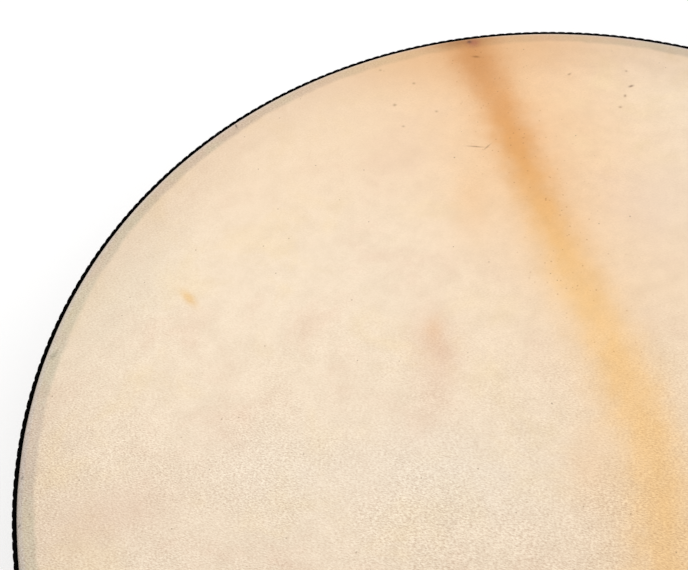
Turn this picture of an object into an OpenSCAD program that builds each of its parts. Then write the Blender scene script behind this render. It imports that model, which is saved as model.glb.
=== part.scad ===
// Ocean drum: a shallow frame drum with a skin on each side and loose steel shot sealed between them.
// The origin is the centre of the lower skin's outer face. +Z points at the upper skin.
// At rest the shot lies in a crescent on the lower skin, against the wall on the -X side.

/* [Drum] */
// Outside diameter, over the skins
drum_d = 559; // [420:1:640]
// Height, from face to face of the skins
drum_h = 70; // [60:1:110]

/* [Shell] */
// Wall of the bent wooden hoop
shell_t = 6; // [5:0.5:9]
// Round on the hoop's outer edges, which the skins turn over
edge_round = 4; // [2:0.1:4.5]
// Wall of the ring glued inside each edge of the hoop
ring_t = 4; // [3:0.5:6]
// Height of each ring
ring_h = 14; // [10:1:20]
// Round on the rings' inner edges
ring_round = 1.2; // [0.5:0.1:1.4]
// Thickness of the glue between a ring and the hoop
glue_t = 0.2; // [0.2:0.05:0.4]
// Gap where the two ends of a ring meet
ring_joint_gap = 0.5; // [0.2:0.1:1.5]
// Width of the groove that the hoop's glued scarf joint shows
scarf_w = 0.6; // [0.3:0.1:1.2]
// Depth of that groove
scarf_depth = 0.4; // [0.2:0.1:1]
// Slant of the scarf joint from upright, in degrees
scarf_slant = 52; // [20:1:60]
// Direction of the scarf joint, in degrees from +X
scarf_at = 118; // [0:1:359]

/* [Skins] */
// Thickness of the hide
skin_t = 0.8; // [0.5:0.1:1.2]

/* [Trim] */
// Height of the braid that covers the skin's cut edge
trim_h = 12; // [9:0.5:16]
// Distance from the skin's face down to the braid
trim_drop = 2; // [1:0.1:4]
// How far the braid reaches past the skin's cut edge
lap_cover = 1.5; // [0.5:0.5:3]
// Thickness of the braid at its bumps
trim_t = 2; // [1.6:0.1:3]
// Length of one bump along the braid
bump_pitch = 5.74; // [4.5:0.01:8]
// Depth of the dip between two bumps
bump_depth = 0.5; // [0.2:0.1:0.8]
// Height of the slope along each edge of the braid, where its strands turn back
slope_h = 0.9; // [0.5:0.1:1.6]
// Width of that slope
slope_w = 0.8; // [0.4:0.1:1.1]
// Gap where the two ends of the braid meet
trim_joint_gap = 0.5; // [0.2:0.1:1]
// Direction of that joint, in degrees from +X
trim_joint_at = 62; // [0:1:359]

/* [Tacks] */
// How many tacks hold each skin
tack_count = 44; // [24:4:60]
// Diameter of a tack's head
tack_head_d = 6.4; // [5:0.1:8]
// Diameter of the flat on top of the head
tack_flat_d = 4.6; // [3:0.1:4.8]
// Height of a tack's head
tack_head_h = 0.8; // [0.5:0.1:1]
// Diameter of a tack's shank
tack_shank_d = 1.6; // [1.2:0.1:2]
// Length of the shank, under the head
tack_shank_l = 5; // [3:0.5:5.5]
// Depth that the hole goes on past the shank's end
tack_end_play = 0.2; // [0.1:0.1:0.4]
// Room round a tack's shank in its hole, and over its head in the braid
tack_room = 0.05; // [0.02:0.01:0.1]
// Room round a tack's head in the braid
tack_side_room = 0.1; // [0.05:0.05:0.4]

/* [Shot] */
// Diameter of one steel ball
shot_d = 5; // [4:0.1:7]
// Least gap between two balls
shot_gap = 0.45; // [0.35:0.05:1]
// Gap from a ball to the wall and to the skin
shot_room = 0.3; // [0.3:0.05:0.6]
// Half of the angle that the row along the wall spans
rim_half_angle = 40; // [20:1:80]
// Half of the angle that the second row spans
drift_half_angle = 32; // [15:1:70]
// Rows side by side in each lane
lane_rows = 3; // [1:1:4]
// Balls behind each other in each row of a lane
lane_balls = 5; // [2:1:8]

/* [Hidden] */

// One lane for each of the nodes named lane_shot
lane_count = 11;
drum_r = drum_d / 2;
shell_r = drum_r - skin_t;
shell_in_r = shell_r - shell_t;
ring_in_r = shell_in_r - glue_t - ring_t;
skin_round = edge_round + skin_t;
// Height of the part of the skin that is lapped down the hoop
skin_lap_h = trim_drop + trim_h - lap_cover;
trim_r = drum_r + trim_t;
// A multiple of four, so that the braid measures the same along X and Y
bump_count = 4 * round(PI * 2 * trim_r / bump_pitch / 4);
samples_per_bump = 4;
tack_z = trim_drop + trim_h / 2;
ball_pitch = shot_d + shot_gap;
ball_z = skin_t + shot_room + shot_d / 2;
rim_row_r = ring_in_r - shot_room - shot_d / 2;
drift_row_r = rim_row_r - ball_pitch;
lane_start_r = drift_row_r - ball_pitch;
// Overrun of cuts past the faces that they open
over = 1;
big_fn = 180;
ball_fn = 24;
small_fn = 24;

// Square with two corners of its outer side rounded, standing from z0 to z1 between two radii
module band_profile(r_in, r_out, z0, z1, round_out) {
    intersection() {
        union() {
            translate([r_in, z0])
                square([r_out - r_in - round_out, z1 - z0]);
            translate([r_in, z0 + round_out])
                square([r_out - r_in, z1 - z0 - 2 * round_out]);
            for (z = [z0 + round_out, z1 - round_out])
                translate([r_out - round_out, z])
                    circle(round_out, $fn = small_fn * 2);
        }
        translate([r_in, z0])
            square([r_out - r_in, z1 - z0]);
    }
}

// Turns what is made for the lower side over to the upper side
module on_upper_side() {
    translate([0, 0, drum_h])
        mirror([0, 0, 1])
            children();
}

// Places copies at the tacks' directions
module at_tacks() {
    for (i = [0 : tack_count - 1])
        rotate([0, 0, (i + 0.5) * 360 / tack_count])
            children();
}

// Holes that the tacks of the lower side are driven into
module tack_holes() {
    hole_l = tack_shank_l + tack_end_play;
    at_tacks()
        translate([drum_r - hole_l, 0, tack_z])
            rotate([0, 90, 0])
                cylinder(h = hole_l + over, d = tack_shank_d + 2 * tack_room, $fn = small_fn);
}

// Narrow slot that opens a ring where its two ends meet
module butt_joint(at, gap) {
    rotate([0, 0, at])
        translate([ring_in_r - over, -gap / 2, -over])
            cube([trim_r - ring_in_r + 2 * over, gap, drum_h / 2]);
}

// Bent hoop, its edges rounded for the skins, with the groove of its scarf joint inside and out
module shell() {
    wood_h = drum_h - 2 * skin_t;
    scarf_l = (wood_h - 2 * ring_h) / cos(scarf_slant);
    color([0.24, 0.13, 0.08])
        difference() {
            rotate_extrude($fn = big_fn)
                band_profile(shell_in_r, shell_r, skin_t, drum_h - skin_t, edge_round);
            for (r = [shell_in_r, shell_r])
                rotate([0, 0, scarf_at])
                    translate([r, 0, drum_h / 2])
                        rotate([scarf_slant, 0, 0])
                            cube([2 * scarf_depth, scarf_w, scarf_l], center = true);
            tack_holes();
            on_upper_side() tack_holes();
        }
}

// Ring glued inside the hoop's edge; with the hoop it carries the skin
module lower_ring() {
    color([0.72, 0.55, 0.36])
        difference() {
            rotate_extrude($fn = big_fn)
                difference() {
                    translate([ring_in_r, skin_t])
                        square([ring_t, ring_h]);
                    for (z = [skin_t, skin_t + ring_h])
                        translate([ring_in_r, z])
                            rotate(45)
                                square(ring_round * sqrt(2), center = true);
                }
            butt_joint(scarf_at + 180, ring_joint_gap);
        }
}

module upper_ring() {
    on_upper_side() lower_ring();
}

// Skin: a flat membrane, a rounded turn over the hoop's edge and a lap down its outside
module lower_head() {
    color([0.90, 0.79, 0.64])
        difference() {
            rotate_extrude($fn = big_fn)
                union() {
                    square([drum_r - skin_round, skin_t]);
                    translate([drum_r - skin_round, skin_round])
                        intersection() {
                            difference() {
                                circle(skin_round, $fn = small_fn * 2);
                                circle(edge_round, $fn = small_fn * 2);
                            }
                            translate([0, -skin_round])
                                square(skin_round);
                        }
                    translate([drum_r - skin_t, skin_round])
                        square([skin_t, skin_lap_h - skin_round]);
                }
            tack_holes();
        }
}

module upper_head() {
    on_upper_side() lower_head();
}

// Outline of the braid seen along the drum's axis: a chain of low bumps with dips between them
function braid_outline() = [
    for (i = [0 : bump_count * samples_per_bump - 1])
        let (
            a = 360 * i / (bump_count * samples_per_bump),
            r = trim_r - bump_depth * (1 - abs(cos(180 * i / samples_per_bump)))
        )
        [r * cos(a), r * sin(a)]
];

// Inside of the braid: one flat for each bump, each touching the skin
function braid_inside() = [
    for (i = [0 : bump_count - 1])
        let (a = 360 * (i + 0.5) / bump_count, r = drum_r / cos(180 / bump_count))
        [r * cos(a), r * sin(a)]
];

// Half section of the braid's band, thin at both edges
function braid_section() = [
    [drum_r - over, 0],
    [trim_r - slope_w, 0],
    [trim_r + over, slope_h * (1 + over / slope_w)],
    [trim_r + over, trim_h - slope_h * (1 + over / slope_w)],
    [trim_r - slope_w, trim_h],
    [drum_r - over, trim_h]
];

// Braid glued over the skin's cut edge and the tack heads
module lower_trim() {
    pocket_h = tack_head_h + tack_room;
    color([0.02, 0.02, 0.02])
        translate([0, 0, trim_drop])
            difference() {
                intersection() {
                    linear_extrude(trim_h)
                        difference() {
                            polygon(braid_outline());
                            polygon(braid_inside());
                        }
                    rotate_extrude($fn = big_fn * 2)
                        polygon(braid_section());
                }
                at_tacks()
                    translate([drum_r - over, 0, trim_h / 2])
                        rotate([0, 90, 0])
                            cylinder(h = pocket_h + over, d = tack_head_d + 2 * tack_side_room, $fn = small_fn);
                butt_joint(trim_joint_at, trim_joint_gap);
            }
}

module upper_trim() {
    on_upper_side() lower_trim();
}

// Flat-headed tacks driven through the lap of the skin into the hoop
module lower_tacks() {
    color([0.10, 0.11, 0.14])
        at_tacks()
            translate([drum_r, 0, tack_z])
                rotate([0, 90, 0]) {
                    cylinder(h = tack_head_h, d1 = tack_head_d, d2 = tack_flat_d, $fn = small_fn);
                    translate([0, 0, -tack_shank_l])
                        cylinder(h = tack_shank_l + tack_head_h / 2, d = tack_shank_d, $fn = small_fn);
                }
}

module upper_tacks() {
    on_upper_side() lower_tacks();
}

// One steel ball on the lower skin
module ball() {
    color([0.62, 0.63, 0.65])
        translate([0, 0, ball_z])
            sphere(d = shot_d, $fn = ball_fn);
}

// Row of balls along an arc, centred on the -X side
module shot_row(r, half_angle) {
    step = 2 * asin(ball_pitch / (2 * r));
    side = floor(half_angle / step);
    for (i = [-side : side])
        rotate([0, 0, 180 + i * step])
            translate([r, 0, 0])
                ball();
}

// Row along the wall, which runs round the drum
module rim_shot() {
    shot_row(rim_row_r, rim_half_angle);
}

// Row behind it, which falls across to the other skin when the drum is turned over
module drift_shot() {
    shot_row(drift_row_r, drift_half_angle);
}

// Rest of the crescent: lanes side by side, each rolling across the skin on its own
module lane_shot(lane) {
    for (row = [0 : lane_rows - 1]) {
        y = ((lane - (lane_count + 1) / 2) * lane_rows + row - (lane_rows - 1) / 2) * ball_pitch;
        for (i = [0 : lane_balls - 1])
            translate([i * ball_pitch - sqrt(lane_start_r * lane_start_r - y * y), y, 0])
                ball();
    }
}

shell();
upper_ring();
lower_ring();
upper_head();
lower_head();
upper_trim();
lower_trim();
upper_tacks();
lower_tacks();
rim_shot();
drift_shot();
lane_shot(1);  // lane_shot_1
lane_shot(2);  // lane_shot_2
lane_shot(3);  // lane_shot_3
lane_shot(4);  // lane_shot_4
lane_shot(5);  // lane_shot_5
lane_shot(6);  // lane_shot_6
lane_shot(7);  // lane_shot_7
lane_shot(8);  // lane_shot_8
lane_shot(9);  // lane_shot_9
lane_shot(10);  // lane_shot_10
lane_shot(11);  // lane_shot_11
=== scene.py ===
"""The looks of an ocean drum: two hide skins over a bent hoop, black braid round both edges."""

import math
from collections import namedtuple

import bpy
import numpy as np
from mathutils import Matrix, Quaternion, Vector, noise


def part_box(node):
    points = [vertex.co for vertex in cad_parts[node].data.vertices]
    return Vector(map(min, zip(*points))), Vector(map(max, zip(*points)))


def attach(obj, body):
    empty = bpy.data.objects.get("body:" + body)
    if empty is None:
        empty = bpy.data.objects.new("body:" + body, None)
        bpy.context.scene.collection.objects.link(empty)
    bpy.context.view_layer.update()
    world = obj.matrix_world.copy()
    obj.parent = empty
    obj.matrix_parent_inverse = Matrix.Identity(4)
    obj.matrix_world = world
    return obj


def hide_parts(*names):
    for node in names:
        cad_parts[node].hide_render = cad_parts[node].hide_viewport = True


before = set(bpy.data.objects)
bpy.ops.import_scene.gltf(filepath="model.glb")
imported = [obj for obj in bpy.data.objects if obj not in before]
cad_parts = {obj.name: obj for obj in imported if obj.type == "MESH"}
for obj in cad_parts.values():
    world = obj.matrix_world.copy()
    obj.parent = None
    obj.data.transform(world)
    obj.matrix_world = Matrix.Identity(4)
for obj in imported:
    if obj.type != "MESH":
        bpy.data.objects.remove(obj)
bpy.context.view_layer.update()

MM = 0.001
TURN = 2 * math.pi

# Sizes that the frame holds
head_low, head_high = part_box("upper_head")
trim_low, trim_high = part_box("upper_trim")
DRUM_H = head_high.z
DRUM_R = head_high.x
TRIM_R = trim_high.x
TRIM_H = trim_high.z - trim_low.z
TRIM_DROP = DRUM_H - trim_high.z
LAP_H = head_high.z - head_low.z
SKIN_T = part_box("shell")[0].z
SHELL_R = DRUM_R - SKIN_T
TACK_COUNT = 44

# Skins
EDGE_ROUND = 4.0 * MM
SKIN_ROUND = 5.7 * MM
WOOD_T = 10.2 * MM
WOOD_IN_R = SHELL_R - WOOD_T
SKIN_SEGMENTS = 720
FLAT_STEPS = 34
ROUND_STEPS = 12
LAP_STEPS = 3

# How far a skin sags inside the wood, and how far the tacks draw in its edge
SAG = 0.22 * MM
SAG_START = 30 * MM
SAG_SCALE = 7
DRAW = 0.16 * MM
DRAW_START = 9 * MM
DRAW_SCALE = 16
DRAW_SEED = 4
DRAW_MEAN = 0.6
DRAW_SPREAD = 0.5

# Braid
BUMP_PITCH = 5.74 * MM
STRANDS = 5
STRAND_W = 3.5 * MM
STRAND_T = 1.0 * MM
STRAND_RISE = 0.47 * MM
EDGE_STRAND_T = 1.76 * MM
EDGE_RISE = 0.1 * MM
TURN_SQUARENESS = 0.3
STRAND_STEP = 1.6 * MM
YARNS = 3
YARN_POINTS = 6
YARN_GROOVE = 0.10
SECTION_POWER = -0.35
JOINT_AT = math.radians(62)
JOINT_GAP = 0.5 * MM

# Camera, from the braid's outline in the photograph: place in rim radii above that outline,
# then a small turn
OUTLINE_DROP = 2.8 * MM
IMAGE_W = 688
FOCAL_PX = 980.73
SENSOR_W = 36
CLIP_START = 0.01
CAMERA_BACK = 0.88415
CAMERA_UP = 1.61321
CAMERA_TURN = Vector((-0.09799, -0.21947, -0.17361))


def srgb(code):
    """Linear colour of a colour written as RRGGBB."""
    values = [int(code[i : i + 2], 16) / 255 for i in (0, 2, 4)]
    linear = [v / 12.92 if v <= 0.04045 else ((v + 0.055) / 1.055) ** 2.4 for v in values]
    return (*linear, 1)


# A noise: cells per metre, detail and roughness, then its place, stretch and distortion
Cloud = namedtuple(
    "Cloud", "scale detail rough offset stretch warp", defaults=((0, 0, 0), (1, 1, 1), 0.0)
)

# Most of a noise's values lie in this range
MIDDLE = (0.3, 0.7)


class Nodes:
    """A node tree, built by short calls. Inputs are sockets or plain values."""

    def __init__(self, tree):
        self.tree = tree

    def put(self, socket, value):
        if isinstance(value, bpy.types.NodeSocket):
            self.tree.links.new(value, socket)
        else:
            socket.default_value = value

    def node(self, kind, **settings):
        made = self.tree.nodes.new(kind)
        for key, value in settings.items():
            setattr(made, key, value)
        return made

    def fill(self, made, *values):
        """Sets a node's first inputs in their order."""
        for socket, value in zip(made.inputs, values):
            self.put(socket, value)
        return made

    def place(self):
        return self.node("ShaderNodeTexCoord").outputs["Object"]

    def stored(self, name):
        return self.node("ShaderNodeAttribute", attribute_name=name).outputs["Vector"]

    def split(self, vector):
        return self.fill(self.node("ShaderNodeSeparateXYZ"), vector).outputs

    def join(self, x, y, z):
        return self.fill(self.node("ShaderNodeCombineXYZ"), x, y, z).outputs[0]

    def math(self, operation, *values, clamp=False):
        made = self.node("ShaderNodeMath", operation=operation, use_clamp=clamp)
        return self.fill(made, *values).outputs[0]

    def add(self, a, b):
        return self.math("ADD", a, b)

    def sub(self, a, b):
        return self.math("SUBTRACT", a, b)

    def times(self, a, b):
        return self.math("MULTIPLY", a, b)

    def over(self, a, b):
        return self.math("DIVIDE", a, b)

    def most(self, a, b):
        return self.math("MAXIMUM", a, b)

    def length(self, x, y):
        return self.math("SQRT", self.add(self.times(x, x), self.times(y, y)))

    def move(self, vector, offset):
        made = self.node("ShaderNodeVectorMath", operation="ADD")
        return self.fill(made, vector, offset).outputs[0]

    def stretch(self, vector, factors):
        made = self.node("ShaderNodeVectorMath", operation="MULTIPLY")
        return self.fill(made, vector, factors).outputs[0]

    def cloud(self, vector, kind):
        """Noise from 0 to 1."""
        made = self.node("ShaderNodeTexNoise")
        place = self.stretch(self.move(vector, kind.offset), kind.stretch)
        self.put(made.inputs["Vector"], place)
        self.put(made.inputs["Scale"], kind.scale)
        self.put(made.inputs["Detail"], kind.detail)
        self.put(made.inputs["Roughness"], kind.rough)
        self.put(made.inputs["Distortion"], kind.warp)
        return made.outputs["Fac"]

    def swing(self, vector, kind):
        """Noise about 0."""
        return self.sub(self.cloud(vector, kind), 0.5)

    def cells(self, vector, scale):
        """Distance to the nearest cell centre, in cells, and that cell's random number."""
        made = self.node("ShaderNodeTexVoronoi")
        self.put(made.inputs["Vector"], vector)
        self.put(made.inputs["Scale"], scale)
        return made.outputs["Distance"], self.split(made.outputs["Color"])[0]

    def ease(self, value, start, end, low=0.0, high=1.0):
        """Smooth step of value from low at start to high at end."""
        made = self.node("ShaderNodeMapRange", interpolation_type="SMOOTHSTEP")
        return self.fill(made, value, start, end, low, high).outputs[0]

    def mix(self, factor, a, b, blend="MIX"):
        made = self.node("ShaderNodeMix", data_type="RGBA", blend_type=blend)
        self.put(made.inputs["Factor"], factor)
        self.put(made.inputs[6], a)
        self.put(made.inputs[7], b)
        return made.outputs[2]

    def curve(self, value, points):
        made = self.node("ShaderNodeFloatCurve")
        line = made.mapping.curves[0]
        for point, place in zip(line.points, (points[0], points[-1])):
            point.location = place
        for place in points[1:-1]:
            line.points.new(*place)
        made.mapping.update()
        self.put(made.inputs["Value"], value)
        return made.outputs[0]

    def bump(self, height, distance, strength):
        made = self.node("ShaderNodeBump")
        self.put(made.inputs["Strength"], strength)
        self.put(made.inputs["Distance"], distance)
        self.put(made.inputs["Height"], height)
        return made.outputs[0]

    def seen(self):
        """1 where the camera looks, also by a reflection or through glass, and 0 for light."""
        path = self.node("ShaderNodeLightPath").outputs
        direct = self.most(path["Is Camera Ray"], path["Is Glossy Ray"])
        return self.most(direct, path["Is Transmission Ray"])


class Shader(Nodes):
    """A material with one principled surface."""

    def __init__(self, name):
        self.material = bpy.data.materials.new(name)
        self.material.use_nodes = True
        super().__init__(self.material.node_tree)

    def finish(self, **inputs):
        """Sets the surface's inputs, named with _ for a space."""
        surface = self.tree.nodes["Principled BSDF"]
        for name, value in inputs.items():
            self.put(surface.inputs[name.replace("_", " ")], value)
        return self.material


# Hide. A ramp holds the start and end of what it follows, and the values there if not 0 and 1.

# Middle line of the tan stripe along the animal's back, as (y, x) in millimetres.
# LINE_REACH is how far the curve reaches, in drum radii
UPPER_BACK_LINE = [
    (-281, 78),
    (-200, 73),
    (-121, 67),
    (-41, 57),
    (18, 34),
    (78, 2),
    (138, -30),
    (197, -61),
    (259, -94),
    (281, -108),
]
LOWER_BACK_LINE = [(-281, 30), (-160, 48), (-40, 40), (80, 12), (200, -8), (281, -14)]
LINE_REACH = 1.02

CREAM = srgb("F8E3C8")
PEACH = srgb("F8C996")
TAN_FAR = srgb("DE9440")
TAN_NEAR = srgb("F9CB8C")
PINK = srgb("EECDB2")
YELLOW = srgb("F5DBAB")
MOTTLE_DARK = (0.955, 0.95, 0.94, 1)
MOTTLE_LIGHT = (1.035, 1.04, 1.045, 1)
# Painted shade of the light's falloff towards -Y
FALLOFF_PAINTED_SHADE = (0.87, 0.88, 0.92, 1)
SHADE_GREEN = (0.66, 0.74, 0.72, 1)
SHADE_PINK = (0.70, 0.70, 0.74, 1)
INNER_SHADE = (0.88, 0.83, 0.80, 1)
# Partly edge wear, partly painted highlight on the turned edge
SHOULDER_WEAR_AND_HIGHLIGHT = srgb("CBBFB8")
SPECK = srgb("6E5230")
PIT = srgb("A5672F")
STAIN = srgb("9A5238")
# Painted shade of the gap under the braid
UNDER_BRAID_PAINTED_SHADE = srgb("0B0908")

# Waviness of every outline on the skin
DRIFT = Cloud(11, 3, 0.55)
DRIFT_FINE = Cloud(70, 3, 0.6, offset=(3, 1, 2))
DRIFT_ROUGH = Cloud(120, 3, 0.6, offset=(9, 5, 2))

# Warm field and stripe, wider or stronger with y
STRIPE_DRIFT = 0.008
STRIPE_DRIFT_FINE = 0.013
FIELD_W = 0.085
FIELD_BY_Y = (-0.03, 0.24, 0.08, 0.95)
STRIPE_W_BY_Y = (-0.06, 0.2, 0.022, 0.0165)
STRIPE_BY_Y = (-0.12, 0.2, 0.85, 1.0)
STREAKS = Cloud(34, 4, 0.6, stretch=(2.4, 1.0, 1.0))
STREAKS_RAMP = (0.25, 0.75, 0.9, 1.08)
TAN_BY_Y = (0.05, 0.225)

# Mottling
CLOUDS = Cloud(22, 4, 0.62, offset=(5, 9, 1), warp=0.4)
PINK_RAMP = (0.5, 0.72, 0.0, 0.42)
YELLOW_RAMP = (0.5, 0.28, 0.0, 0.34)
BARE_W = 0.045
MOTTLE = Cloud(95, 4, 0.65, offset=(2, 4, 7))
MOTTLE_RAMP = (0.25, 0.75)
# Painted shade of the light's falloff: darker towards -Y, with a wavy edge
FALLOFF_SHADE_DRIFT = 0.08
FALLOFF_SHADE_BY_Y = (0.03, -0.16, 0.0, 0.3)

# Strip on the wood, shade inside it, and a light grey on the turn over the edge that is partly edge
# wear and partly painted highlight
STRIP_DRIFT = 0.004
STRIP_DRIFT_FINE = 0.0035
STRIP_EDGE = (WOOD_IN_R - 1.6 * MM, WOOD_IN_R + 1.8 * MM)
STRIP_HUE = Cloud(24, 3, 0.6, offset=(8, 2, 5))
STRIP_HUE_RAMP = (0.38, 0.62)
STRIP_FADE = Cloud(17, 2, 0.5, offset=(6, 7, 8))
STRIP_FADE_RAMP = (0.35, 0.65, 0.87, 1.0)
STRIP_FADE_FAR = (0.27, 0.35, 0.76, 1.0)
INNER_EDGE = (WOOD_IN_R - 45 * MM, WOOD_IN_R)
INNER_BY_Y = (-0.05, 0.05, 0.4, 1.0)
SHOULDER_WEAR_AND_HIGHLIGHT_EDGE = (DRUM_R - 5.8 * MM, DRUM_R - 3.4 * MM, 0.0, 0.6)
# Painted shade, near black on the lap's outside under the braid
UNDER_BRAID_SHADE_EDGE = (DRUM_R - 0.3 * MM, DRUM_R - 0.1 * MM)

PATCH_SWAY_MAX = 12

# Grain, and where it is strongest
WORN = Cloud(16, 3, 0.6, offset=(1, 6, 3))
WORN_RAMP = (0.36, 0.62, 0.5, 0.95)
WORN_SLOPE_X = 0.3
WORN_SLOPE_Y = -1.25
WORN_BY_SLOPE = (-0.12, 0.085, 0.2, 1.0)
WORN_BY_X = (-0.19, -0.26, 0.0, 0.3)
GRAIN = Cloud(820, 1, 0.6, stretch=(0.8, 1.25, 1.0))
GRAIN_SHARE = 0.22
GRAIN_FINE = Cloud(1400, 1, 0.6, offset=(4, 4, 4), stretch=(0.55, 1.2, 1.0))
GRAIN_FINE_SHARE = 1.5
STRIP_GRAIN_BY_X = (-0.1, -0.24, 0.3, 0.9)
GRAIN_TINT = (0.62, 0.8, 0.9)

# Hair roots and scratches: cells per metre, stretch, radius in cells, share of empty cells
SPECKS = (
    (75, (1, 1, 1), 0.055, 0.80),
    (42, (0.35, 1.2, 1), 0.03, 0.86),
    (230, (1, 1, 1), 0.13, 0.93),
)
SPECK_CORE = 0.4
SPECK_STRENGTH = 0.5

# Pits round the stripe
PIT_OFFSET = (7, 3, 0)
PIT_SCALE = 300
PIT_CHOICE = (0.45, 0.75)
PIT_EDGE = (0.22, 0.06)
PIT_W = 0.034
PIT_BY_Y = (-0.02, 0.1, 0.25, 1.0)
PIT_STRENGTH = 0.5

HIDE_ROUGHNESS = (0.62, 0.5)
HIDE_SPECULAR = 0.32
HIDE_BUMP = 0.35 * MM
HIDE_BUMP_STRENGTH = 0.7


def back_line(m, x, y, line):
    """Signed distance across the skin from the stripe's middle line."""
    span = DRUM_R * LINE_REACH
    points = [tuple((v * MM + span) / (2 * span) for v in point) for point in line]
    share = m.curve(m.over(m.add(y, span), 2 * span), points)
    return m.sub(x, m.sub(m.times(share, 2 * span), span))


def fall(m, squared):
    """1 where squared is 0, falling smoothly to 0 past 1."""
    return m.math("EXPONENT", m.times(squared, -1.0))


def bell(m, distance, width):
    """1 at distance 0, falling smoothly to 0 past width."""
    share = m.over(distance, width)
    return fall(m, m.times(share, share))


def patch(m, x, y, centre, half_l, half_w, turn):
    """Soft oval on the skin, in millimetres, its long side turned from +X in degrees."""
    c, s = math.cos(math.radians(turn)), math.sin(math.radians(turn))
    dx, dy = m.sub(x, centre[0] * MM), m.sub(y, centre[1] * MM)
    along = m.over(m.add(m.times(dx, c), m.times(dy, s)), half_l * MM)
    across = m.over(m.sub(m.times(dy, c), m.times(dx, s)), half_w * MM)
    return fall(m, m.add(m.times(along, along), m.times(across, across)))


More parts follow.
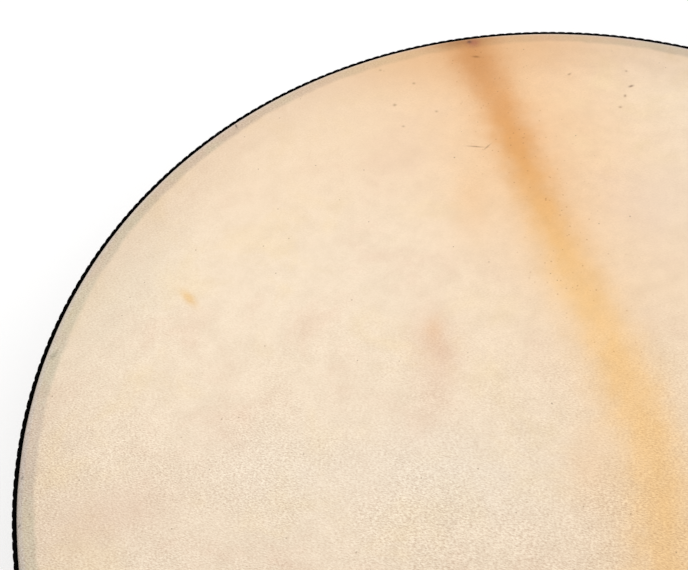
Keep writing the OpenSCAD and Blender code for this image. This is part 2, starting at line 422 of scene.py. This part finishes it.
def hide(name, line, stripe, patches, shift):
    """Hide with a stripe of that strength along its back line. shift moves its noises."""
    m = Shader(name)
    place = m.place()
    moved = m.move(place, shift)
    x, y, _ = m.split(place)
    radius = m.length(x, y)
    drift = m.swing(moved, DRIFT)
    drift_fine = m.swing(moved, DRIFT_FINE)
    drift_rough = m.swing(moved, DRIFT_ROUGH)

    # Warm field round the stripe, strongest at the +Y side, then the stripe itself
    sway = m.add(m.times(drift, STRIPE_DRIFT), m.times(drift_fine, STRIPE_DRIFT_FINE))
    across = back_line(m, m.add(x, sway), y, line)
    field = m.times(bell(m, across, FIELD_W), m.ease(y, *FIELD_BY_Y))
    colour = m.mix(m.times(field, stripe), CREAM, PEACH)
    core = m.times(bell(m, across, m.ease(y, *STRIPE_W_BY_Y)), m.ease(y, *STRIPE_BY_Y))
    core = m.times(core, m.ease(m.cloud(moved, STREAKS), *STREAKS_RAMP))
    tan = m.mix(m.ease(y, *TAN_BY_Y), TAN_NEAR, TAN_FAR)
    colour = m.mix(m.times(core, stripe), colour, tan)

    # Mottling: pink and yellow clouds beside the stripe, then smaller light and dark ones
    clouds = m.cloud(moved, CLOUDS)
    bare = m.sub(1.0, bell(m, across, BARE_W))
    colour = m.mix(m.times(m.ease(clouds, *PINK_RAMP), bare), colour, PINK)
    colour = m.mix(m.times(m.ease(clouds, *YELLOW_RAMP), bare), colour, YELLOW)
    mottle = m.mix(m.ease(m.cloud(moved, MOTTLE), *MOTTLE_RAMP), MOTTLE_DARK, MOTTLE_LIGHT)
    colour = m.mix(1.0, colour, mottle, "MULTIPLY")
    # Painted shade of the light's falloff, darker towards -Y
    near = m.ease(m.add(y, m.times(drift, FALLOFF_SHADE_DRIFT)), *FALLOFF_SHADE_BY_Y)
    colour = m.mix(near, colour, FALLOFF_PAINTED_SHADE, "MULTIPLY")

    # Strip where the skin lies on the wood, shade inside it, then a light grey on the turn over the
    # edge: partly edge wear, partly painted highlight where the edge catches light
    ragged = m.add(m.times(drift_fine, STRIP_DRIFT_FINE), m.times(drift, STRIP_DRIFT))
    strip = m.ease(m.add(radius, ragged), *STRIP_EDGE)
    fade = m.ease(m.cloud(moved, STRIP_FADE), *STRIP_FADE_RAMP)
    fade = m.times(fade, m.ease(m.sub(y, x), *STRIP_FADE_FAR))
    hue = m.ease(m.cloud(moved, STRIP_HUE), *STRIP_HUE_RAMP)
    strip_shade = m.mix(hue, SHADE_GREEN, SHADE_PINK)
    colour = m.mix(m.times(strip, fade), colour, strip_shade, "MULTIPLY")
    inner = m.times(m.ease(radius, *INNER_EDGE), m.ease(y, *INNER_BY_Y))
    colour = m.mix(inner, colour, INNER_SHADE, "MULTIPLY")
    colour = m.mix(m.ease(radius, *SHOULDER_WEAR_AND_HIGHLIGHT_EDGE), colour, SHOULDER_WEAR_AND_HIGHLIGHT)

    for centre, half_l, half_w, turn, tint, strength in patches:
        sway = min(half_w, PATCH_SWAY_MAX) * MM
        x_there = m.add(x, m.times(drift_fine, sway))
        y_there = m.add(y, m.times(drift_rough, sway))
        mask = patch(m, x_there, y_there, centre, half_l, half_w, turn)
        colour = m.mix(m.math("MULTIPLY", mask, strength, clamp=True), colour, tint)

    # Grain: short raised ridges and pits of about a millimetre
    worn = m.ease(m.cloud(moved, WORN), *WORN_RAMP)
    slope = m.add(m.times(x, WORN_SLOPE_X), m.times(y, WORN_SLOPE_Y))
    worn = m.times(worn, m.ease(slope, *WORN_BY_SLOPE))
    worn = m.add(worn, m.ease(x, *WORN_BY_X))
    grain = m.cloud(moved, GRAIN)
    fine = m.swing(moved, GRAIN_FINE)
    dots = m.add(m.times(m.sub(grain, 0.5), GRAIN_SHARE), m.times(fine, GRAIN_FINE_SHARE))
    strip_worn = m.times(strip, m.ease(x, *STRIP_GRAIN_BY_X))
    dots = m.times(dots, m.most(worn, strip_worn))
    tints = [m.add(1.0, m.times(dots, share)) for share in GRAIN_TINT]
    colour = m.mix(1.0, colour, m.join(*tints), "MULTIPLY")

    # Sparse dark hair roots and short scratches
    for scale, stretch, size, empty in SPECKS:
        offset = (scale, 0, 0)
        apart, random = m.cells(m.stretch(m.move(moved, offset), stretch), scale)
        chosen = m.math("GREATER_THAN", random, empty)
        near = m.ease(apart, size, size * SPECK_CORE)
        colour = m.mix(m.times(m.times(near, chosen), SPECK_STRENGTH), colour, SPECK)

    # Small pits, close together along the stripe
    apart, random = m.cells(m.move(moved, PIT_OFFSET), PIT_SCALE)
    near = m.times(m.ease(apart, *PIT_EDGE), m.ease(random, *PIT_CHOICE))
    round_stripe = m.times(bell(m, across, PIT_W), m.ease(y, *PIT_BY_Y))
    colour = m.mix(m.times(m.times(near, round_stripe), PIT_STRENGTH), colour, PIT)

    # Painted shade: the lap under the braid is made near black, for the dark gap between skin and
    # braid
    colour = m.mix(m.ease(radius, *UNDER_BRAID_SHADE_EDGE), colour, UNDER_BRAID_PAINTED_SHADE)

    return m.finish(
        Base_Color=colour,
        Roughness=m.ease(grain, *MIDDLE, *HIDE_ROUGHNESS),
        Specular_IOR_Level=HIDE_SPECULAR,
        Normal=m.bump(dots, HIDE_BUMP, HIDE_BUMP_STRENGTH),
    )


# Patches of a skin: centre, half length and half width in millimetres, turn, colour, strength
UPPER_PATCHES = [
    ((-149.1, 167.4), 120, 60, 45, srgb("F3D2AC"), 0.5),
    ((-250, 15), 60, 28, 85, srgb("E9DCC4"), 0.4),
    ((-45, -52), 45, 24, 0, srgb("F6E6D2"), 0.6),
    ((-123, -68), 42, 22, 0, srgb("F6E6D2"), 0.4),
    ((42, 142), 22, 34, 0, srgb("F4DCC4"), 0.45),
    ((-66, 124), 12, 28, 12, srgb("F4C48E"), 0.4),
    ((22, -35), 12, 24, 10, srgb("F4C48E"), 0.3),
    ((-92, 246), 80, 26, 20, srgb("E8B278"), 0.4),
    ((-88, 243), 30, 15, 112, srgb("CD8A48"), 0.6),
    ((-202.7, -109.9), 32, 16, 30, srgb("E6C6AC"), 0.45),
    ((-66, 19), 24, 13, 108, srgb("ECC6A8"), 0.5),
    ((-69, 28), 8, 5, 100, srgb("EDBE90"), 0.4),
    ((-62, 17), 9, 6, 110, srgb("E2B596"), 0.25),
    ((-60, -10), 22, 8, 80, srgb("EBC9AE"), 0.3),
    ((-209.7, 21.3), 7, 2.6, -35, srgb("EFC27E"), 0.75),
    ((-99, 257), 20, 6, 20, srgb("A06C3C"), 0.7),
    ((-90.2, 256.4), 4, 4, 20, srgb("A65A48"), 0.6),
    ((-93.2, 257), 1.6, 1.4, 20, srgb("5A3626"), 0.8),
    ((-86.3, 243.4), 2.4, 0.9, 3, srgb("9A6428"), 0.8),
    ((-226.2, 155.2), 2, 0.6, -55, srgb("5A4A40"), 0.75),
    ((-71.6, 164.4), 4.5, 0.5, 5, srgb("8E6A4A"), 0.7),
    ((-64.6, 165.4), 3, 0.45, 60, srgb("8E6A4A"), 0.6),
    ((14.9, 232.2), 1.6, 0.8, 35, srgb("6E4A35"), 0.8),
    ((12.4, 223.0), 0.8, 1.1, 0, srgb("8E6A4A"), 0.7),
    ((10.4, 212.6), 1.0, 0.9, 0, srgb("A07C58"), 0.6),
    ((10.7, 245.3), 0.8, 0.8, 0, srgb("8E6A4A"), 0.5),
    ((-24.3, 236.8), 1.3, 0.7, 50, srgb("9A7048"), 0.6),
    ((-129.3, 191.0), 1.1, 1.0, 0, srgb("A08058"), 0.65),
    ((-121.4, 212.4), 1.0, 0.9, 0, srgb("A08058"), 0.6),
    ((-146.1, 220.7), 0.9, 0.8, 0, srgb("A08058"), 0.5),
    ((-101.7, 189.9), 1.0, 0.9, 0, srgb("A08058"), 0.5),
    ((-119.4, 173.5), 0.9, 0.8, 0, srgb("A08058"), 0.5),
    ((-271.5, -30.5), 3.0, 1.6, 75, srgb("8E8A78"), 0.5),
    ((-256.4, -101.9), 1.0, 0.7, 70, srgb("4A4038"), 0.6),
    ((-246.5, -125.8), 1.0, 0.7, 60, srgb("4A4038"), 0.6),
]
LOWER_PATCHES = [
    ((60, -90), 22, 12, 40, srgb("E0B89A"), 0.5),
    ((-120, 60), 9, 4, 10, srgb("EBC088"), 0.6),
    ((12, -262), 18, 5, -5, STAIN, 0.5),
]


# Wood

SCARF_AT = math.radians(118)
SCARF_SLANT = math.radians(52)

# Noises of the grain, stretched along the bend, up the wall and outwards
WOOD_FLOW = Cloud(1, 2, 0.5, stretch=(3, 14, 1))
WOOD_FLOW_SWAY = 0.012
WOOD_BROAD = Cloud(1, 3, 0.55, stretch=(1.6, 95, 40))
WOOD_BROAD_SHARE = 0.62
WOOD_THIN = Cloud(1, 4, 0.65, stretch=(7, 520, 200))
WOOD_THIN_SHARE = 0.38
WOOD_PORES = Cloud(1, 1, 0.5, stretch=(110, 2300, 300))
PORES_RAMP = (0.64, 0.72)
PORES_STRENGTH = 0.75
THIN_HEIGHT = 0.5
WOOD_BUMP = 0.12 * MM
WOOD_BUMP_STRENGTH = 0.5
WOOD_COAT_ROUGHNESS = 0.22
STAINED_WOOD = {
    "light": srgb("6B3E26"),
    "dark": srgb("341A0F"),
    "pore": srgb("160A06"),
    "streak": 0.16,
    "coat": 0.5,
    "rough": (0.46, 0.36),
}
PLAIN_WOOD = {
    "light": srgb("D9B98A"),
    "dark": srgb("B98F5C"),
    "pore": srgb("8A6238"),
    "streak": 0.2,
    "coat": 0.0,
    "rough": (0.68, 0.58),
}


def wood(name, light, dark, pore, streak, coat, rough):
    """Bent strip wood: the grain runs round the drum and breaks at the slanted scarf joint."""
    m = Shader(name)
    x, y, z = m.split(m.place())
    slant = m.times(m.sub(z, DRUM_H / 2), math.tan(SCARF_SLANT) / SHELL_R)
    turn = m.node("ShaderNodeVectorRotate", rotation_type="Z_AXIS")
    m.put(turn.inputs["Vector"], m.join(x, y, 0.0))
    m.put(turn.inputs["Angle"], m.add(slant, math.pi - SCARF_AT))
    u, v, _ = m.split(turn.outputs[0])
    along = m.times(m.math("ARCTAN2", v, u), SHELL_R)
    depth = m.length(x, y)
    flow = m.swing(m.join(along, z, depth), WOOD_FLOW)
    bent = m.join(along, m.add(z, m.times(flow, WOOD_FLOW_SWAY)), depth)
    broad = m.cloud(bent, WOOD_BROAD)
    thin = m.cloud(bent, WOOD_THIN)
    lines = m.add(m.times(broad, WOOD_BROAD_SHARE), m.times(thin, WOOD_THIN_SHARE))
    colour = m.mix(m.ease(lines, 0.5 - streak, 0.5 + streak), dark, light)
    pores = m.ease(m.cloud(bent, WOOD_PORES), *PORES_RAMP)
    colour = m.mix(m.times(pores, PORES_STRENGTH), colour, pore)
    height = m.sub(m.times(thin, THIN_HEIGHT), pores)
    return m.finish(
        Base_Color=colour,
        Roughness=m.ease(thin, *MIDDLE, *rough),
        Normal=m.bump(height, WOOD_BUMP, WOOD_BUMP_STRENGTH),
        Coat_Weight=coat,
        Coat_Roughness=WOOD_COAT_ROUGHNESS,
    )


# Braid and metal

BRAID_BLACK = srgb("030303")
BRAID_DUST = srgb("0C0B0B")
BRAID_FIBRE = srgb("121112")
# Partly rubbed wear, partly painted sheen that shows the weave
BRAID_WEAR_AND_SHEEN = srgb("33302E")
FIBRE = Cloud(2600, 2, 0.6)
FIBRE_RAMP = (0.5, 0.8, 0.0, 0.35)
DUST = Cloud(70, 3, 0.6)
DUST_RAMP = (0.45, 0.8, 0.0, 0.5)
WEAR_AND_SHEEN_EDGE = (TRIM_R - 0.9 * MM, TRIM_R - 0.1 * MM)
WEAR_AND_SHEEN_FIBRE = (0.3, 0.9)
FILAMENTS = 9.0
FILAMENT_TWIST = 5200.0
FILAMENT_HEIGHT = 0.5
BRAID_ROUGHNESS = (0.8, 0.92)
BRAID_SPECULAR = 0.02
BRAID_BUMP = 0.06 * MM
BRAID_BUMP_STRENGTH = 0.7

SMEAR = Cloud(260, 3, 0.6)
SMEAR_RAMP = (0.45, 0.75, 0.0, 0.6)
SMEAR_ROUGHNESS = 0.16
SCRATCH = Cloud(1800, 2, 0.6, stretch=(1, 6, 2))
METAL_BUMP = 0.01 * MM
METAL_BUMP_STRENGTH = 0.3


def braid_black(name):
    """Dull black thread: filaments twist along each strand, dusty in places, lighter on the outer
    crest, partly rubbed wear and partly painted sheen.
    """
    m = Shader(name)
    place = m.place()
    around_c, around_s, along = m.split(m.stored("strand"))
    angle = m.math("ARCTAN2", around_s, around_c)
    turns = m.add(m.times(angle, FILAMENTS), m.times(along, FILAMENT_TWIST))
    fibre = m.cloud(place, FIBRE)
    height = m.add(m.times(m.math("SINE", turns), FILAMENT_HEIGHT), fibre)
    colour = m.mix(m.ease(m.cloud(place, DUST), *DUST_RAMP), BRAID_BLACK, BRAID_DUST)
    colour = m.mix(m.ease(fibre, *FIBRE_RAMP), colour, BRAID_FIBRE)
    x, y, _ = m.split(place)
    # Outer crest lighter: partly rubbed wear, partly painted sheen
    wear_and_sheen = m.ease(m.length(x, y), *WEAR_AND_SHEEN_EDGE)
    wear_and_sheen = m.times(wear_and_sheen, m.ease(fibre, *MIDDLE, *WEAR_AND_SHEEN_FIBRE))
    colour = m.mix(wear_and_sheen, colour, BRAID_WEAR_AND_SHEEN)
    return m.finish(
        Base_Color=colour,
        Roughness=m.ease(fibre, *MIDDLE, *BRAID_ROUGHNESS),
        Specular_IOR_Level=BRAID_SPECULAR,
        Normal=m.bump(height, BRAID_BUMP, BRAID_BUMP_STRENGTH),
    )


def metal(name, colour, stain, rough):
    """Smeared, finely scratched metal."""
    m = Shader(name)
    place = m.place()
    smear = m.cloud(place, SMEAR)
    return m.finish(
        Base_Color=m.mix(m.ease(smear, *SMEAR_RAMP), colour, stain),
        Metallic=1.0,
        Roughness=m.ease(smear, *MIDDLE, rough, rough + SMEAR_ROUGHNESS),
        Normal=m.bump(m.cloud(place, SCRATCH), METAL_BUMP, METAL_BUMP_STRENGTH),
    )


# Shapes

def new_piece(name, vertices, faces, material, smooth=True):
    mesh = bpy.data.meshes.new(name)
    mesh.from_pydata(vertices, [], faces)
    mesh.validate()
    mesh.polygons.foreach_set("use_smooth", [smooth] * len(mesh.polygons))
    mesh.materials.append(material)
    piece = bpy.data.objects.new(name, mesh)
    bpy.context.scene.collection.objects.link(piece)
    return piece


def wall(first, rings, count):
    """Faces between closed rings of count vertices each, from index first on."""
    faces = []
    for here in range(first, first + (rings - 1) * count, count):
        there = here + count
        for i in range(count):
            j = (i + 1) % count
            faces.append((here + i, here + j, there + j, there + i))
    return faces


def skin_profile(inset, rounding):
    """Half section of one face of a skin as (radius, depth): middle, turned edge, lap."""
    corner = DRUM_R - inset - rounding
    points = [(corner * math.sqrt(i / FLAT_STEPS), inset) for i in range(1, FLAT_STEPS + 1)]
    for i in range(1, ROUND_STEPS + 1):
        a = math.pi / 2 * i / ROUND_STEPS
        points.append((corner + rounding * math.sin(a), inset + rounding - rounding * math.cos(a)))
    start = inset + rounding
    for i in range(1, LAP_STEPS + 1):
        points.append((DRUM_R - inset, start + (LAP_H - start) * i / LAP_STEPS))
    return points


def skin_relief(x, y, seed):
    """How far the skin lies below its plane, and how far its turned edge is drawn in."""
    r = math.hypot(x, y)
    free = min(max((WOOD_IN_R - r) / SAG_START, 0), 1)
    slack = noise.noise(Vector((x * SAG_SCALE, y * SAG_SCALE, seed)))
    dip = (0.5 + 0.5 * slack) * SAG * free
    edge = min(max((r - DRUM_R + DRAW_START) / DRAW_START, 0), 1)
    between_tacks = 0.5 - 0.5 * math.cos(TACK_COUNT * math.atan2(y, x))
    uneven = noise.noise(Vector((x * DRAW_SCALE, y * DRAW_SCALE, seed + DRAW_SEED)))
    return dip, edge * edge * between_tacks * (DRAW_MEAN + DRAW_SPREAD * uneven) * DRAW


def skin(name, side, material, seed):
    """A skin with real thickness. side is 1 for the upper one and -1 for the lower one."""
    loops = skin_profile(0.0, SKIN_ROUND) + skin_profile(SKIN_T, EDGE_ROUND)[::-1]
    face_z = DRUM_H if side > 0 else 0.0
    n = SKIN_SEGMENTS
    vertices = []
    for r, depth in loops:
        for i in range(n):
            a = TURN * i / n
            x, y = r * math.cos(a), r * math.sin(a)
            dip, draw = skin_relief(x, y, seed)
            k = 1 - draw / r
            vertices.append((x * k, y * k, face_z - side * (depth + dip)))
    outside, inside = len(vertices), len(vertices) + 1
    centre_dip = skin_relief(0, 0, seed)[0]
    for depth in (0.0, SKIN_T):
        vertices.append((0, 0, face_z - side * (depth + centre_dip)))
    faces = wall(0, len(loops), n)
    last = (len(loops) - 1) * n
    for i in range(n):
        j = (i + 1) % n
        faces.append((outside, j, i))
        faces.append((inside, last + i, last + j))
    if side > 0:
        faces = [f[::-1] for f in faces]
    return new_piece(name, vertices, faces, material)


def wave(x):
    """Wave of period 1 with flattened turns, from -1 at 0 to 1 at a half."""
    plain = -np.cos(TURN * x)
    return plain * (1 + TURN_SQUARENESS - TURN_SQUARENESS * plain**2)


def strand_depth(x):
    """Height over the braid's middle, -1 under and 1 over, at share x of a strand's period."""
    t = 2 * STRANDS * (x % 1)
    at = [k for k in range(1, 2 * STRANDS) if k != STRANDS]
    sign = [(-1.0) ** (k if k < STRANDS else k - STRANDS) for k in at]
    at = [at[-1] - 2 * STRANDS] + at + [at[0] + 2 * STRANDS]
    sign = [sign[-1]] + sign + [sign[0]]
    k = np.clip(np.searchsorted(at, t, side="right") - 1, 0, len(at) - 2)
    start, end = np.array(at)[k], np.array(at)[k + 1]
    low, high = np.array(sign)[k], np.array(sign)[k + 1]
    share = (t - start) / (end - start)
    return low + (high - low) * (0.5 - 0.5 * np.cos(math.pi * share))


def strand_line(s, k):
    """Middle line of strand k as (along, down, out) and its thickness, at lengths s."""
    x = s / (STRANDS * BUMP_PITCH) + k / STRANDS
    near_turn = np.clip(1 - np.abs(x - np.round(2 * x) / 2) * 2 * STRANDS, 0, 1)
    edge = near_turn**2 * (3 - 2 * near_turn)
    thickness = STRAND_T + (EDGE_STRAND_T - STRAND_T) * edge
    rise = STRAND_RISE + (EDGE_RISE - STRAND_RISE) * edge
    half_h = TRIM_H / 2 - STRAND_W / 2
    return np.stack([s, half_h * wave(x), rise * strand_depth(x)], 1), thickness


def strand_section():
    """Flat bundle of yarns side by side, as shares of its half width and half thickness."""
    points = []
    count = YARN_POINTS * YARNS
    for i in range(count):
        a = TURN * i / count
        c, s = math.cos(a), math.sin(a)
        lobes = 1 - YARN_GROOVE * (1 - abs(math.cos(a * YARNS)))
        points.append((c * abs(c) ** SECTION_POWER * lobes, s * lobes))
    return np.array(points)


def sweep(line, thickness, section):
    """Rings of the section along the line, with their flat side outwards."""
    tangent = np.gradient(line, axis=0)
    tangent /= np.linalg.norm(tangent, axis=1)[:, None]
    up = np.array([0.0, 0.0, 1.0]) - tangent * tangent[:, 2:3]
    up /= np.linalg.norm(up, axis=1)[:, None]
    across = np.cross(tangent, up)
    across_part = across[:, None] * (STRAND_W / 2 * section[:, 0])[:, None]
    up_part = up[:, None] * np.outer(thickness / 2, section[:, 1])[:, :, None]
    return (line[:, None] + across_part + up_part).reshape(-1, 3)


def braid(name, side, material):
    """Flat plait of several strands round the drum's edge, its two ends meeting at a joint."""
    length = TURN * DRUM_R - JOINT_GAP
    rings = int(length / STRAND_STEP)
    s = np.linspace(0, length, rings)
    section = strand_section()
    count = len(section)
    vertices, faces = [], []
    for k in range(STRANDS):
        line, thickness = strand_line(s, k)
        flat = sweep(line, thickness, section)
        a = JOINT_AT + (flat[:, 0] + JOINT_GAP / 2) / DRUM_R
        r = (TRIM_R + DRUM_R) / 2 + flat[:, 2]
        depth = TRIM_DROP + TRIM_H / 2 + flat[:, 1]
        z = DRUM_H - depth if side > 0 else depth
        first = len(vertices)
        last = first + (rings - 1) * count
        vertices += np.stack([r * np.cos(a), r * np.sin(a), z], 1).tolist()
        faces += wall(first, rings, count)
        faces.append(tuple(first + j for j in reversed(range(count))))
        faces.append(tuple(last + j for j in range(count)))
    if side > 0:
        faces = [f[::-1] for f in faces]
    piece = new_piece(name, vertices, faces, material)

    # Place in the strand, as the cosine and sine round it and the length along it
    turn = TURN * np.arange(count) / count
    round_c, round_s = np.tile(np.cos(turn), rings), np.tile(np.sin(turn), rings)
    stored = np.tile(np.stack([round_c, round_s, np.repeat(s, count)], 1), (STRANDS, 1))
    attribute = piece.data.attributes.new("strand", "FLOAT_VECTOR", "POINT")
    attribute.data.foreach_set("vector", stored.astype(np.float32).ravel())
    return piece


def dress(node, material):
    """Gives a CAD node its material."""
    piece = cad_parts[node]
    piece.data.materials.clear()
    piece.data.materials.append(material)


def build_drum():
    upper_hide = hide(
        "upper_hide_look", UPPER_BACK_LINE, stripe=1.0, patches=UPPER_PATCHES, shift=(0, 0, 0)
    )
    lower_hide = hide(
        "lower_hide_look", LOWER_BACK_LINE, stripe=0.6, patches=LOWER_PATCHES, shift=(1.7, 0.6, 0.3)
    )
    black = braid_black("braid_look")
    stained = wood("stained_wood_look", **STAINED_WOOD)
    plain = wood("plain_wood_look", **PLAIN_WOOD)
    tack = metal("tack_look", colour=srgb("2C2F35"), stain=srgb("191B1F"), rough=0.5)
    shot = metal("shot_look", colour=srgb("CFD0D2"), stain=srgb("8E9094"), rough=0.12)

    skins = ((1, "upper", upper_hide, 2.0), (-1, "lower", lower_hide, 7.0))
    for side, word, material, seed in skins:
        piece = skin(word + "_skin", side, material, seed)
        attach(piece, "drum")
        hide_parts(word + "_head")
        piece = braid(word + "_braid", side, black)
        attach(piece, "drum")
        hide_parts(word + "_trim")
        dress(word + "_ring", plain)
        dress(word + "_tacks", tack)
    dress("shell", stained)
    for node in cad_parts:
        if "shot" in node:
            dress(node, shot)


# Stage

FLOOR_HALF = 6.0
FLOOR_GAP = 0.2 * MM
FLOOR_CLOUD = Cloud(3, 2, 0.5)
FLOOR_DARK = srgb("F4F4F3")
FLOOR_LIGHT = srgb("F8F8F8")
FLOOR_ROUGHNESS = 0.9
FLOOR_GLOW_BY_R = (0.75, 2.2, 0.16, 0.46)
AMBIENT = 0.62
KEY_SIZE = 1.3
KEY_AT = Vector((-0.75, 1.0, 2.0))
KEY_WATTS = 21


def floor():
    """Pale floor that glows a little for the camera, more so far away, and keeps its shadow."""
    m = Shader("floor_look")
    place = m.place()
    x, y, _ = m.split(place)
    m.finish(
        Base_Color=m.mix(m.cloud(place, FLOOR_CLOUD), FLOOR_DARK, FLOOR_LIGHT),
        Roughness=FLOOR_ROUGHNESS,
        Specular_IOR_Level=0.0,
        Emission_Color=(1, 1, 1, 1),
        Emission_Strength=m.times(m.seen(), m.ease(m.length(x, y), *FLOOR_GLOW_BY_R)),
    )
    h = FLOOR_HALF
    square = [(x, y, -FLOOR_GAP) for x, y in ((-h, -h), (h, -h), (h, h), (-h, h))]
    new_piece("floor", square, [(0, 1, 2, 3)], m.material, smooth=False)


def light():
    """White surroundings that light less than they show, and one soft lamp."""
    world = bpy.data.worlds.new("studio")
    world.use_nodes = True
    m = Nodes(world.node_tree)
    background = m.tree.nodes["Background"]
    m.put(background.inputs["Color"], (1, 1, 1, 1))
    m.put(background.inputs["Strength"], m.ease(m.seen(), 0.0, 1.0, AMBIENT, 1.0))
    bpy.context.scene.world = world
    lamp = bpy.data.lights.new("key", "AREA")
    lamp.shape = "DISK"
    lamp.size = KEY_SIZE
    lamp.energy = KEY_WATTS
    key = bpy.data.objects.new("key", lamp)
    key.location = KEY_AT
    key.rotation_euler = (KEY_AT - Vector((0, 0, DRUM_H))).to_track_quat("Z", "Y").to_euler()
    bpy.context.scene.collection.objects.link(key)


def camera():
    data = bpy.data.cameras.new("camera")
    data.sensor_width = SENSOR_W
    data.lens = FOCAL_PX / IMAGE_W * SENSOR_W
    data.clip_start = CLIP_START
    eye = bpy.data.objects.new("camera", data)
    out = Vector((0, -CAMERA_BACK, CAMERA_UP)) * TRIM_R
    place = Matrix.Translation(out + Vector((0, 0, DRUM_H - OUTLINE_DROP)))
    small_turn = Quaternion(-CAMERA_TURN.normalized(), CAMERA_TURN.length)
    turn = out.to_track_quat("Z", "Y") @ small_turn
    eye.matrix_world = place @ turn.to_matrix().to_4x4()
    bpy.context.scene.collection.objects.link(eye)
    bpy.context.scene.camera = eye


camera()
build_drum()
floor()
light()
bpy.context.scene.view_settings.view_transform = "Standard"
